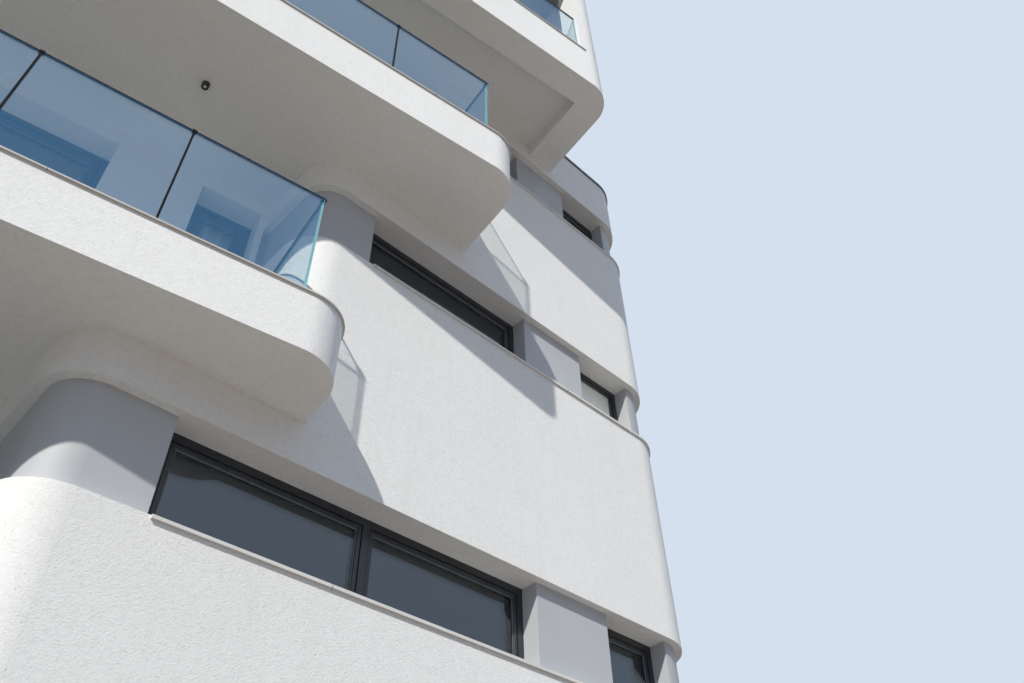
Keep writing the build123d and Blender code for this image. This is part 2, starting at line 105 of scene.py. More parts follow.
class Shader:
    def __init__(self, tree):
        self.tree = tree

    def node(self, kind, settings=None, values=None, out=0):
        made = self.tree.nodes.new(kind)
        for key, value in (settings or {}).items():
            if key == "stops":  # colour ramp stops as (place, grey)
                ramp = made.color_ramp
                while len(ramp.elements) < len(value):
                    ramp.elements.new(1)
                for element, (place, tone) in zip(ramp.elements, value):
                    element.position = place
                    element.color = (tone, tone, tone, 1)
            else:
                setattr(made, key, value)
        for key, value in (values or {}).items():
            socket = made.inputs[key]
            if isinstance(value, Wire):
                self.tree.links.new(value.socket, socket)
            elif socket.type == "RGBA" and len(value) == 3:
                socket.default_value = (*value, 1)
            else:
                socket.default_value = value
        return Wire(self.tree, made.outputs[out] if len(made.outputs) else None)

    def maths(self, operation, first, second):
        return self.node("ShaderNodeMath", {"operation": operation}, {0: first, 1: second})

    def blend(self, mask, low, high):
        values = {"Factor": mask, 6: low, 7: high}
        return self.node("ShaderNodeMix", {"data_type": "RGBA"}, values, out=2)

    def layers(self, mask, first, second):  # one surface where the mask is 0 and another where it is 1
        return self.node("ShaderNodeMixShader", None, {0: mask, 1: first, 2: second})

    def noise(self, place, scale, detail=2, roughness=0.5):
        values = {"Vector": place, "Scale": scale, "Detail": detail, "Roughness": roughness}
        return self.node("ShaderNodeTexNoise", None, values)

    def stretch(self, place, amounts):
        return self.node("ShaderNodeVectorMath", {"operation": "MULTIPLY"}, {0: place, 1: amounts})

    def ramp(self, value, span):  # 0 below the span, 1 above it
        low, high = span
        return self.node("ShaderNodeValToRGB", {"stops": [(low, 0.0), (high, 1.0)]}, {"Fac": value})

    def bump(self, height, strength, distance):
        values = {"Height": height, "Strength": strength, "Distance": distance}
        return self.node("ShaderNodeBump", None, values)

    def axis(self, place, number):  # 0, 1 and 2 for X, Y and Z
        return self.node("ShaderNodeSeparateXYZ", None, {"Vector": place}, out=number)

    def grid(self, place, pitches, joint):  # 1 on the lines of a grid, one pitch along X and one along Y
        lines = []
        for number, pitch in enumerate(pitches):
            lines.append(self.maths("PINGPONG", self.axis(place, number), pitch / 2) < joint / 2)
        return self.maths("MAXIMUM", *lines)

    def place(self):  # metres, in the frame
        return self.node("ShaderNodeTexCoord", out=3)

    def clear(self, tint):
        return self.node("ShaderNodeBsdfTransparent", None, {"Color": tint})

    def surface(self, values):
        return self.node("ShaderNodeBsdfPrincipled", None, values)

    def finish(self, surface):
        self.node("ShaderNodeOutputMaterial", None, {"Surface": surface})


def newMaterial(name):
    material = bpy.data.materials.new(name)
    material.use_nodes = True
    material.node_tree.nodes.clear()
    return material, Shader(material.node_tree)


# white render and bare concrete: mottled, with sand grain and small dark pits
coatPattern = {
    "patchSpan": (0.35, 0.68), "mottleSpan": (0.47, 0.66), "grainSpan": (0.58, 0.76),
    "streakSpan": (0.52, 0.78), "streakStretch": (5, 5, 0.45), "streakScale": 1.6,   # runs down the wall
    "sandFiner": 3.3, "pitSpan": (0.05, 0.12), "rareSpan": (0.50, 0.66), "rareCoarser": 0.4,
    "grainDeep": -0.6, "sandDeep": 0.4, "pitDeep": 1.5,
}


def renderCoat(name, look):
    material, shader = newMaterial(name)
    place, pattern = shader.place(), coatPattern
    patches = shader.ramp(shader.noise(place, look["patchScale"], 5, 0.62), pattern["patchSpan"])
    down = shader.stretch(place, pattern["streakStretch"])
    streaks = shader.ramp(shader.noise(down, pattern["streakScale"], 3, 0.55), pattern["streakSpan"])
    grain = shader.noise(place, look["grainScale"], 3, 0.65)
    sand = shader.noise(place, look["grainScale"] * pattern["sandFiner"], 2, 0.6)
    spots = shader.node("ShaderNodeTexVoronoi", None, {"Vector": place, "Scale": look["pitScale"]})
    rare = shader.ramp(shader.noise(place, look["pitScale"] * pattern["rareCoarser"]), pattern["rareSpan"])
    pits = (1 - shader.ramp(spots, pattern["pitSpan"])) * rare
    mottle = shader.ramp(shader.noise(place, look["mottleScale"], 5, 0.72), pattern["mottleSpan"])
    speckle = shader.ramp(grain, pattern["grainSpan"])
    color = shader.blend(patches, look["color"], look["patchColor"])
    color = shader.blend(mottle * look["mottle"], color, look["pitColor"])
    color = shader.blend(streaks * look["streaks"], color, look["streakColor"])
    color = shader.blend(speckle * look["speckle"], color, look["pitColor"])
    color = shader.blend(pits * look["pits"], color, look["pitColor"])
    height = grain * pattern["grainDeep"] + sand * pattern["sandDeep"] - pits * pattern["pitDeep"]
    normal = shader.bump(height, look["bump"], look["grainHeight"])
    shader.finish(shader.surface({"Base Color": color, "Roughness": look["roughness"], "Normal": normal}))
    return material


# smooth coats on metal, stone and film, with a soft cloudiness and a fine skin
paintPattern = {
    "patchSpan": (0.3, 0.7), "dustSpan": (0.55, 0.8), "dustStretch": (3, 3, 0.5), "dustFiner": 4,
    "patchRough": 0.10, "dustRough": 0.08, "smoother": 0.07, "skinHeight": 0.001,
    "jointWide": 0.005, "specular": 0.5,
}


def paint(name, look):
    material, shader = newMaterial(name)
    place, pattern = shader.place(), paintPattern
    patches = shader.ramp(shader.noise(place, look["patchScale"], 4, 0.6), pattern["patchSpan"])
    down = shader.stretch(place, pattern["dustStretch"])
    dust = shader.noise(down, look["patchScale"] * pattern["dustFiner"], 4, 0.6)
    dust = shader.ramp(dust, pattern["dustSpan"])
    color = shader.blend(patches, look["color"], look["patchColor"])
    color = shader.blend(dust * look["dust"], color, look["dustColor"])
    skin = shader.noise(place, look["skinScale"])
    if "joints" in look:  # butt joints of sheet metal, this far apart
        joints = shader.grid(place, (look["joints"], look["joints"]), pattern["jointWide"])
        color = shader.blend(joints, color, look["jointColor"])
    normal = shader.bump(skin, look["bump"], pattern["skinHeight"])
    rough = patches * pattern["patchRough"] + dust * pattern["dustRough"]
    rough = rough + (look["roughness"] - pattern["smoother"])
    values = {"Base Color": color, "Roughness": rough, "Metallic": look["metallic"], "Normal": normal}
    values["Specular IOR Level"] = look.get("specular", pattern["specular"])
    shader.finish(shader.surface(values))
    return material


def glass(name, look):
    material, shader = newMaterial(name)
    # light through the glass takes the look's tint; the window panes' dark tint is painted shade of the dim
    # rooms behind them
    through = shader.clear(look["tint"])
    if "clearTint" in look:  # clearer in the doors, which all stand in one plane across the front
        along = shader.axis(shader.place(), 1)
        low, high = look["doorPlane"]
        through = shader.layers((along > low) * (along < high), through, shader.clear(look["clearTint"]))
    # the reflecting layer takes the look's shine colour; the balustrade glass's deep blue shine is a
    # painted reflection of a blue sky
    shine = shader.surface({"Base Color": look["shine"], "Metallic": 1.0, "Roughness": look["roughness"]})
    facing = shader.node("ShaderNodeLayerWeight", None, {"Blend": 0.5}, out=1)
    mirror = facing ** 5.0 * ((1 - look["mirror"]) * look["graze"]) + look["mirror"]
    shader.finish(shader.layers(mirror, through, shine))
    return material


# curtains and blinds, woven from threads up and across
weave = {
    "upright": (1, 1, 0.04), "level": (0.04, 0.04, 1), "threads": 320, "patchScale": 3,
    "bump": 0.3, "height": 0.0006, "roughness": 0.95,
}


def cloth(name, look):
    material, shader = newMaterial(name)
    place = shader.place()
    upright = shader.noise(shader.stretch(place, weave["upright"]), weave["threads"])
    level = shader.noise(shader.stretch(place, weave["level"]), weave["threads"])
    patches = shader.noise(place, weave["patchScale"], 3)
    color = shader.blend(patches, look["color"], look["patchColor"])
    color = shader.blend(upright * level, color, look["threadColor"])
    normal = shader.bump(upright + level, weave["bump"], weave["height"])
    shader.finish(shader.surface({"Base Color": color, "Roughness": weave["roughness"], "Normal": normal}))
    return material


# roofing felt in strips, with lapped joints
feltLook = {
    "color": (0.46, 0.46, 0.45),
    "toneColor": (0.38, 0.38, 0.375), "toneScale": 0.9, "toneSpan": (0.35, 0.68),
    "pitch": (1.0, 7.5), "joint": 0.02, "jointColor": (0.25, 0.25, 0.25), "jointHeight": 0.6,
    "gritScale": 260, "gritHeight": 0.5, "bump": 0.5, "height": 0.003, "roughness": 0.9,
}


def feltCoat(name, look):
    material, shader = newMaterial(name)
    place = shader.place()
    tone = shader.ramp(shader.noise(place, look["toneScale"], 4, 0.6), look["toneSpan"])
    joints = shader.grid(place, look["pitch"], look["joint"])
    color = shader.blend(joints, shader.blend(tone, look["color"], look["toneColor"]), look["jointColor"])
    grit = shader.noise(place, look["gritScale"], 2, 0.6)
    height = grit * look["gritHeight"] + joints * look["jointHeight"]
    normal = shader.bump(height, look["bump"], look["height"])
    shader.finish(shader.surface({"Base Color": color, "Roughness": look["roughness"], "Normal": normal}))
    return material


whiteLook = {
    "color": (0.87, 0.87, 0.86), "patchColor": (0.84, 0.84, 0.83), "patchScale": 0.8,
    "streakColor": (0.72, 0.71, 0.69), "streaks": 0.16, "pitColor": (0.52, 0.51, 0.50), "pits": 0.55,
    "pitScale": 38, "speckle": 0.45, "grainScale": 80, "grainHeight": 0.006, "bump": 0.8, "roughness": 0.94,
    "mottleScale": 26, "mottle": 0.16,
}
concreteLook = {
    "color": (0.55, 0.54, 0.52), "patchColor": (0.47, 0.46, 0.44), "patchScale": 0.6,
    "streakColor": (0.40, 0.39, 0.37), "streaks": 0.3, "pitColor": (0.34, 0.33, 0.32), "pits": 0.6,
    "pitScale": 30, "speckle": 0.3, "grainScale": 90, "grainHeight": 0.002, "bump": 0.4, "roughness": 0.9,
    "mottleScale": 16, "mottle": 0.2,
}
panelLook = {
    "color": (0.49, 0.505, 0.53), "patchColor": (0.45, 0.465, 0.49), "patchScale": 1.1,
    "dustColor": (0.48, 0.48, 0.49), "dust": 0.25, "skinScale": 170, "bump": 0.25,
    "roughness": 0.62, "metallic": 0.0,
}
frameLook = {
    "color": (0.020, 0.024, 0.031), "patchColor": (0.026, 0.030, 0.038), "patchScale": 3,
    "dustColor": (0.07, 0.07, 0.07), "dust": 0.2, "skinScale": 400, "bump": 0.12,
    "roughness": 0.36, "metallic": 0.0,
}
doorLook = {**frameLook, "roughness": 0.42}
beadLook = {**frameLook, "color": (0.075, 0.08, 0.085), "patchColor": (0.09, 0.095, 0.10), "roughness": 0.3}
sealLook = {
    **frameLook, "color": (0.006, 0.006, 0.007), "patchColor": (0.009, 0.009, 0.010),
    "dustColor": (0.014, 0.014, 0.014), "roughness": 0.7, "specular": 0.08,
}
railLook = {
    **frameLook, "color": (0.010, 0.014, 0.024), "patchColor": (0.014, 0.018, 0.029),
    "dustColor": (0.025, 0.03, 0.04), "roughness": 0.4, "specular": 0.2,
}
lampLook = {
    **frameLook, "color": (0.008, 0.008, 0.009), "patchColor": (0.012, 0.012, 0.013), "roughness": 0.5,
}
sillLook = {
    "color": (0.73, 0.72, 0.70), "patchColor": (0.66, 0.65, 0.63), "patchScale": 2.2,
    "dustColor": (0.42, 0.40, 0.37), "dust": 0.35, "skinScale": 350, "bump": 0.1,
    "roughness": 0.5, "metallic": 0.0, "joints": 2.4, "jointColor": (0.16, 0.155, 0.15),
}
copingLook = {**sillLook, "color": (0.60, 0.575, 0.545), "patchColor": (0.53, 0.50, 0.47)}
darkCopingLook = {
    **sillLook, "color": (0.050, 0.056, 0.066), "patchColor": (0.064, 0.070, 0.080),
    "dustColor": (0.12, 0.12, 0.12), "roughness": 0.42, "jointColor": (0.012, 0.012, 0.013),
}
steelLook = {
    "color": (0.55, 0.55, 0.56), "patchColor": (0.50, 0.50, 0.51), "patchScale": 9,
    "dustColor": (0.40, 0.39, 0.38), "dust": 0.2, "skinScale": 600, "bump": 0.1,
    "roughness": 0.34, "metallic": 1.0,
}
# window panes: the tint is painted shade of the dim rooms behind, far darker than the glass itself; the
# doors keep a clear tint
windowGlassLook = {
    "tint": (0.64, 0.68, 0.68), "clearTint": (0.92, 0.95, 0.95), "doorPlane": (-4.51, -4.44),
    "shine": (0.80, 0.88, 1.0), "roughness": 0.02, "mirror": 0.09, "graze": 1.0,
}
# balustrade glass: near clear, with a deep blue reflecting layer that is a painted reflection of a blue sky
railGlassLook = {
    "tint": (0.985, 1.0, 0.985),
    "shine": (0.24, 0.58, 0.98), "roughness": 0.015, "mirror": 0.145, "graze": 0.12,
}
glassEdgeLook = {
    "color": (0.30, 0.56, 0.52), "patchColor": (0.38, 0.64, 0.60), "patchScale": 5,
    "dustColor": (0.5, 0.7, 0.66), "dust": 0.1, "skinScale": 300, "bump": 0.05,
    "roughness": 0.2, "metallic": 0.0,
}
curtainLook = {
    "color": (0.84, 0.84, 0.83), "patchColor": (0.79, 0.79, 0.78), "threadColor": (0.88, 0.88, 0.87),
}
blindLook = {
    "color": (0.78, 0.80, 0.75), "patchColor": (0.73, 0.75, 0.705), "threadColor": (0.82, 0.84, 0.79),
}
satinLook = {
    "color": (0.87, 0.88, 0.81), "patchColor": (0.83, 0.84, 0.77), "patchScale": 4,
    "dustColor": (0.76, 0.77, 0.72), "dust": 0.2, "skinScale": 500, "bump": 0.08,
    "roughness": 0.40, "metallic": 0.3,
}
lensLook = {
    "color": (0.86, 0.85, 0.81), "patchColor": (0.82, 0.81, 0.77), "patchScale": 40,
    "dustColor": (0.76, 0.77, 0.72), "dust": 0.2, "skinScale": 500, "bump": 0.08,
    "roughness": 0.35, "metallic": 0.0,
}
tileLook = {
    "color": (0.36, 0.355, 0.345), "patchColor": (0.30, 0.295, 0.285), "patchScale": 5,
    "dustColor": (0.45, 0.44, 0.42), "dust": 0.3, "skinScale": 220, "bump": 0.3,
    "roughness": 0.6, "metallic": 0.0,
}

looks = {  # one for each of the record's slots
    "render": renderCoat("whiteRender", whiteLook),
    "grey_panel": paint("greyPanel", panelLook),
    "dark_frame": paint("frameCoat", frameLook),
    "door": paint("doorCoat", doorLook),
    "lamp": paint("lampCoat", lampLook),
    "metal_sill": paint("sillMetal", sillLook),
    "coping": paint("copingMetal", copingLook),
    "dark_coping": paint("darkCoping", darkCopingLook),
    "slab": renderCoat("slabConcrete", concreteLook),
    "glass": glass("windowGlass", windowGlassLook),
    "rail_glass": glass("railGlass", railGlassLook),
}
seal = paint("rubberSeal", sealLook)
bead = paint("glazingBead", beadLook)
topRail = paint("railCoat", railLook)
steel = paint("brushedSteel", steelLook)
glassEdge = paint("polishedEdge", glassEdgeLook)
curtainCloth = cloth("curtainCloth", curtainLook)
blindCloth = cloth("blindCloth", blindLook)
felt = feltCoat("roofFelt", feltLook)
satin = paint("satinFilm", satinLook)
lens = paint("lampLens", lensLook)
tile = paint("floorTile", tileLook)
print("materials made")

feltedNodes = ("roof_slab", "floor_slab_4")  # the two flat roofs


def dressNodes():
    slotOf = {part["node"]: part["material_slot"] for part in frame["record"]["subparts"]}
    for name, node in nodes.items():
        node.data.materials.clear()
        node.data.materials.append(felt if name in feltedNodes else looks[slotOf[name]])


dressNodes()


# mesh building
def addPiece(name, mesh, materials):
    piece = bpy.data.objects.new(name, mesh)
    bpy.context.scene.collection.objects.link(piece)
    for material in materials:
        mesh.materials.append(material)
    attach(piece, "root")
    return piece


def meshFrom(bm, name, smooth=False):
    bmesh.ops.recalc_face_normals(bm, faces=bm.faces)
    mesh = bpy.data.meshes.new(name)
    bm.to_mesh(mesh)
    bm.free()
    if smooth:
        for face in mesh.polygons:
            face.use_smooth = True
    return mesh


class Pane:  # a flat upright sheet: its middle, the level line along it, the way out, and its size
    def __init__(self, corners, facing):
        across = up.cross(facing).normalized()
        out = across.cross(up)
        alongs = [corner.dot(across) for corner in corners]
        depths = [corner.dot(out) for corner in corners]
        self.low, self.high = min(corner.z for corner in corners), max(corner.z for corner in corners)
        self.wide, self.thick = max(alongs) - min(alongs), max(depths) - min(depths)
        self.tall = self.high - self.low
        level = across * (max(alongs) + min(alongs)) + out * (max(depths) + min(depths))
        self.middle = (level + up * (self.low + self.high)) / 2
        way = -1 if out.dot(self.middle) < 0 else 1
        self.across, self.out = across * way, out * way
        self.axes = (self.across, self.out, up)

    def at(self, along, height, depth):  # from the middle of the foot; depth is outwards from the mid plane
        foot = Vector((self.middle.x, self.middle.y, self.low))
        return foot + self.across * along + up * height + self.out * depth


weldWithin = 1e-5


def islandsOf(name):  # every separate solid of a node, as its points and the normal of its widest face
    bm = bmesh.new()
    bm.from_mesh(nodes[name].data)
    bmesh.ops.remove_doubles(bm, verts=bm.verts, dist=weldWithin)
    found, seen = [], set()
    for start in bm.verts:
        if start in seen:
            continue
        stack, solid = [start], []
        seen.add(start)
        while stack:
            vert = stack.pop()
            solid.append(vert)
            for edge in vert.link_edges:
                other = edge.other_vert(vert)
                if other not in seen:
                    seen.add(other)
                    stack.append(other)
        faces = dict.fromkeys(face for vert in solid for face in vert.link_faces)  # keeps their order
        widest = max(faces, key=lambda face: face.calc_area())
        found.append(([vert.co.copy() for vert in solid], widest.normal.copy()))
    bm.free()
    return found


def panesOf(name):  # from the bottom up, front to back and left to right
    panes = [Pane(points, facing) for points, facing in islandsOf(name)]
    return sorted(panes, key=lambda pane: (round(pane.middle.z, 2), round(pane.middle.y, 2), pane.middle.x))


def addRing(bm, pane, profile):
    # profile points are (way in from the edge, way out from the mid plane, material of the next stretch)
    loops = []
    for inset, depth, _ in profile:
        along, low, high = pane.wide / 2 - inset, inset, pane.tall - inset
        spots = ((-along, low), (along, low), (along, high), (-along, high))
        loops.append([bm.verts.new(pane.at(x, z, depth)) for x, z in spots])
    for here, there, (_, _, material) in zip(loops, loops[1:] + loops[:1], profile):
        for side in range(4):
            after = (side + 1) % 4
            face = bm.faces.new((here[side], here[after], there[after], there[side]))
            face.material_index = material


boxCorners = [(x, y, z) for z in (-1, 1) for x, y in ((-1, -1), (1, -1), (1, 1), (-1, 1))]
boxSides = ((0, 3, 2, 1), (4, 5, 6, 7), (0, 1, 5, 4), (1, 2, 6, 5), (2, 3, 7, 6), (3, 0, 4, 7))


def addBlock(bm, middle, axes, sizes, bevel=0.0):  # a bar along three unit vectors
    verts = []
    for corner in boxCorners:
        spot = Vector(middle)
        for axis, size, way in zip(axes, sizes, corner):
            spot = spot + axis * (size / 2 * way)
        verts.append(bm.verts.new(spot))
    faces = [bm.faces.new([verts[index] for index in side]) for side in boxSides]
    if bevel:
        edges = list(dict.fromkeys(edge for face in faces for edge in face.edges))
        bmesh.ops.bevel(bm, geom=edges, offset=bevel, segments=1, affect="EDGES", profile=0.5)


def addTurned(bm, foot, axis, profile, segments=40):
    # profile points are (radius, way along the axis, material of the next stretch)
    side = axis.orthogonal().normalized()
    other = axis.cross(side)
    turns = [2 * math.pi * index / segments for index in range(segments)]
    rays = [side * math.cos(turn) + other * math.sin(turn) for turn in turns]
    loops = []
    for radius, along, _ in profile:
        heart = foot + axis * along
        spots = [heart + ray * radius for ray in rays] if radius else [heart]
        loops.append([bm.verts.new(spot) for spot in spots])
    for (_, _, material), here, there in zip(profile, loops, loops[1:]):
        for index in range(segments):
            quad = ((here, index), (here, index + 1), (there, index + 1), (there, index))
            corners = [loop[place % len(loop)] for loop, place in quad]
            face = bm.faces.new(list(dict.fromkeys(corners)))  # a triangle where a loop is one point
            face.material_index = material


# window sashes: a stile ring with its seal, bead and inner half, in each pane's opening
sash = {
    "gap": 0.004,            # between frame and sash
    "rebate": 0.016,         # from the face back to the seal
    "width": 0.034,          # face of a window sash
    "doorWidth": 0.074,      # face of a terrace door sash
    "doorTall": 1.5,         # panes taller than this are doors
    "face": 0.029,           # out from the mid plane of the glass
    "edge": 0.003,           # chamfer
    "bead": 0.009, "beadTall": 0.008,
    "glassSkin": 0.0125,     # just in front of the glass
}


def isDoor(pane):
    return pane.tall > sash["doorTall"]


def addSash(bm, pane):
    frameCoat, rubber, beadCoat = 0, 1, 2
    gap, face, edge, skin = sash["gap"], sash["face"], sash["edge"], sash["glassSkin"]
    inner = gap + (sash["doorWidth"] if isDoor(pane) else sash["width"])
    addRing(bm, pane, [
        (0.0, skin, rubber), (0.0, face - sash["rebate"], rubber), (gap, face - sash["rebate"], frameCoat),
        (gap, face - edge, frameCoat), (gap + edge, face, frameCoat), (inner - edge, face, frameCoat),
        (inner, face - edge, rubber), (inner, skin + sash["beadTall"], beadCoat),
        (inner + sash["bead"], skin + edge, rubber), (inner + sash["bead"], -skin - edge, beadCoat),
        (inner, -skin - sash["beadTall"], frameCoat), (inner, -face, frameCoat), (gap, -face, frameCoat),
        (gap, -skin, rubber),
    ])


def makeSashes():
    coats = [looks["dark_frame"], seal, bead]
    for storey in storeys:
        bm = bmesh.new()
        for pane in panesOf("window_glass_" + storey):
            addSash(bm, pane)
        addPiece("sashes_" + storey, meshFrom(bm, "sashes"), coats)


makeSashes()
print("sashes made")


def addSheetMesh(name, top, rows, drop, drift):
    # top is the line that the cloth hangs from; each row lies lower and drifts a little
    bm = bmesh.new()
    grid = []
    for row in range(rows + 1):
        fall = row / rows
        spots = [spot - up * (drop * fall) + drift(index, fall) for index, spot in enumerate(top)]
        grid.append([bm.verts.new(spot) for spot in spots])
    for low, high in zip(grid[1:], grid):
        for index in range(len(top) - 1):
            bm.faces.new((low[index], low[index + 1], high[index + 1], high[index]))
    return meshFrom(bm, name, smooth=True)


# roller blinds in some of the ribbon windows, and one small pane with a satin film
blind = {
    "depth": 0.062,          # behind the mid plane of the glass
    "below": 0.01,           # from the head of the pane
    "sideGap": 0.012,
    "steps": 12, "rows": 6, "ripple": 0.0015, "rippleStep": 0.9,
    "bar": (0.012, 0.022), "barBevel": 0.002,
    "box": (0.045, 0.045), "boxBevel": 0.006, "boxPast": 0.02, "boxUp": 0.005, "boxBack": 0.012,
    "chance": 0.42,          # share of the windows with a blind
    "least": 0.25, "spread": 0.7,    # how far down it is drawn
    "seed": 11,
}
film = {"storey": "2", "narrowerThan": 0.9, "thick": 0.0006, "out": 0.0004, "gap": 0.0005}
frontRight = (0.0, -4.0)     # wing windows right of and in front of this show in the photo, without blinds


def makeBlind(name, pane, drawn):
    width, drop = pane.wide - 2 * blind["sideGap"], pane.tall * drawn
    head, depth = pane.tall - blind["below"], -blind["depth"]
    shares = [step / blind["steps"] - 0.5 for step in range(blind["steps"] + 1)]
    top = [pane.at(width * share, head, depth) for share in shares]

    def drift(index, fall):
        return pane.out * (blind["ripple"] * math.sin(index * blind["rippleStep"]) * fall)

    mesh = addSheetMesh(name, top, blind["rows"], drop, drift)
    piece = addPiece(name, mesh, [blindCloth])
    bm = bmesh.new()
    addBlock(bm, pane.at(0, head - drop, depth), pane.axes, (width, *blind["bar"]), blind["barBevel"])
    box = pane.at(0, pane.tall + blind["boxUp"], depth - blind["boxBack"])
    addBlock(bm, box, pane.axes, (width + blind["boxPast"], *blind["box"]), blind["boxBevel"])
    addPiece(name + "_bars", meshFrom(bm, "bars"), [looks["metal_sill"]])
    name + "_bars"


def makeSatinPane(name, pane):  # a film on the outer face of the glass, inside the beads
    inset = sash["gap"] + sash["width"] + sash["bead"] + film["gap"]
    bm = bmesh.new()
    size = (pane.wide - 2 * inset, film["thick"], pane.tall - 2 * inset)
    addBlock(bm, pane.at(0, pane.tall / 2, sash["glassSkin"] + film["out"]), pane.axes, size)
    addPiece(name, meshFrom(bm, "satinPane"), [satin])


def makeBlinds():
    chance = random.Random(blind["seed"])
    count = 0
    for storey in storeys:
        for index, pane in enumerate(panesOf("window_glass_" + storey)):
            if isDoor(pane):
                continue
            onRight = pane.middle.x > frontRight[0]
            draw = chance.random()
            if storey == film["storey"] and pane.wide < film["narrowerThan"] and onRight:
                makeSatinPane("satin_pane_" + storey, pane)
            elif draw < blind["chance"] and not (onRight and pane.middle.y < frontRight[1]):
                drawn = blind["least"] + blind["spread"] * chance.random()
                makeBlind("blind_%s_%d" % (storey, index), pane, drawn)
                count += 1
    return count


print("blinds made:", makeBlinds())


# gathered curtains behind the terrace doors, hung from rails on the wall above them
curtain = {
    "depth": 0.115,          # behind the mid plane of the glass
    "fold": 0.105,           # from fold to fold, as hung
    "swing": 0.046,
    "points": 12,            # to a fold
    "pace": 0.8, "paceSwing": 0.5, "paceStep": 0.05, "paceChance": 0.3,    # uneven folds
    "lean": 0.012, "leanRun": 6, "shift": 0.01, "shiftStep": 0.11,         # the cloth strays as it falls
    "rows": 10,
    "pastHead": 0.09, "floorGap": 0.02,
    "rail": (0.018, 0.024), "railBevel": 0.004, "railPast": 0.04, "railUp": 0.012,
    "narrow": 1.0,           # doors narrower than this have one curtain, drawn right across
    "drawn": (((-1, 1),), ((-1, -0.25), (0.35, 1)), ((-1, 0.2),)),         # spans in half widths, by door
    "seed": 4,
}


def arcLength(points):
    return sum((b - a).length for a, b in zip(points, points[1:]))


def makeCurtain(name, pane, start, end, chance):
    along, top, phase = start, [], 0.0
    height, depth = pane.tall + curtain["pastHead"], -curtain["depth"]
    while along < end:
        top.append(pane.at(along, height, depth + curtain["swing"] * math.sin(phase)))
        uneven = math.sin(len(top) * curtain["paceStep"] + chance.random() * curtain["paceChance"])
        pace = curtain["fold"] * (curtain["pace"] + curtain["paceSwing"] * uneven)
        along += curtain["fold"] / curtain["points"]
        phase += 2 * math.pi / curtain["points"] * (curtain["fold"] / pace)
    drop, run = height - curtain["floorGap"], curtain["leanRun"]
    lean = [chance.uniform(-curtain["lean"], curtain["lean"]) for _ in top]

    def drift(index, fall):
        sideways = curtain["shift"] * fall * math.sin(index * curtain["shiftStep"])
        return pane.out * (lean[index // run * run] * fall) + pane.across * sideways

    mesh = addSheetMesh(name, top, curtain["rows"], drop, drift)
    piece = addPiece(name, mesh, [curtainCloth])
    arcLength(top)
    name + "_rail"
    bm = bmesh.new()
    middle = pane.at((start + end) / 2, height + curtain["railUp"], depth)
    size = (end - start + curtain["railPast"], *curtain["rail"])
    addBlock(bm, middle, pane.axes, size, curtain["railBevel"])
    addPiece(name + "_rail", meshFrom(bm, "rail"), [looks["metal_sill"]])


def makeCurtains():
    chance = random.Random(curtain["seed"])
    for storey in storeys[1:]:
        doors = [pane for pane in panesOf("window_glass_" + storey) if isDoor(pane)]
        for index, pane in enumerate(doors):
            half = pane.wide / 2
            pattern = 0 if pane.wide < curtain["narrow"] else index % len(curtain["drawn"])
            for part, (start, end) in enumerate(curtain["drawn"][pattern]):
                name = "curtain_%s_%d_%d" % (storey, index, part)
                makeCurtain(name, pane, half * start, half * end, chance)


makeCurtains()
print("curtains made")


# glass balustrades: a dark rail on the top edge, polished edges at the ends, strips and clips on the joints
balustrade = {
    "past": 0.014,           # how far rail and channel run past a pane
    "railWide": 0.022, "railTall": 0.012, "railBevel": 0.003, "lap": 0.006,
    "channelWide": 0.032, "channelTall": 0.012, "channelBevel": 0.002,
    "edge": 0.0018,
    "nearby": 0.05,          # panes nearer than this share a joint
    "joint": 0.0146, "jointDeep": 0.019, "jointBevel": 0.001,      # black strip between two panes
    "clip": (0.034, 0.028, 0.030), "clipBevel": 0.003, "clipDown": 0.002,
    "corner": (0.05, 0.04, 0.030), "cornerBevel": 0.004,
    "foot": (0.036, 0.035, 0.014), "footBevel": 0.003, "footPast": 0.02, "footUp": 0.008,
}


def isReturn(pane):
    return abs(pane.out.x) > 0.5


def addJoints(joints, panes):  # between panes side by side in one line; gives back the ends that are joined
    joined = set()
    for pane, after in zip(panes, panes[1:]):
        start, end = pane.at(pane.wide / 2, 0, 0), after.at(-after.wide / 2, 0, 0)
        if isReturn(pane) or (end - start).length > balustrade["nearby"]:
            continue
        joined.update(((pane, 1), (after, -1)))
        foot = (start + end) / 2
        strip = (balustrade["joint"], balustrade["jointDeep"], pane.tall - balustrade["lap"])
        addBlock(joints, foot + up * (pane.tall / 2), pane.axes, strip, balustrade["jointBevel"])
        clip = foot + up * (pane.tall - balustrade["clipDown"])
        addBlock(joints, clip, pane.axes, balustrade["clip"], balustrade["clipBevel"])
    return joined


def addRails(rails, edges, pane, joined):
    top = pane.tall + balustrade["railTall"] / 2 - balustrade["lap"]
    length, foot = pane.wide + balustrade["past"], balustrade["channelTall"] / 2
    rail = (length, balustrade["railWide"], balustrade["railTall"])
    addBlock(rails, pane.at(0, top, 0), pane.axes, rail, balustrade["railBevel"])
    channel = (length, balustrade["channelWide"], balustrade["channelTall"])
    addBlock(rails, pane.at(0, foot, 0), pane.axes, channel, balustrade["channelBevel"])
    for side in (1, -1):
        if (pane, side) not in joined:
            spot = pane.at(side * (pane.wide + balustrade["edge"]) / 2, pane.tall / 2, 0)
            size = (balustrade["edge"], pane.thick, pane.tall - 2 * balustrade["lap"])
            addBlock(edges, spot, pane.axes, size)


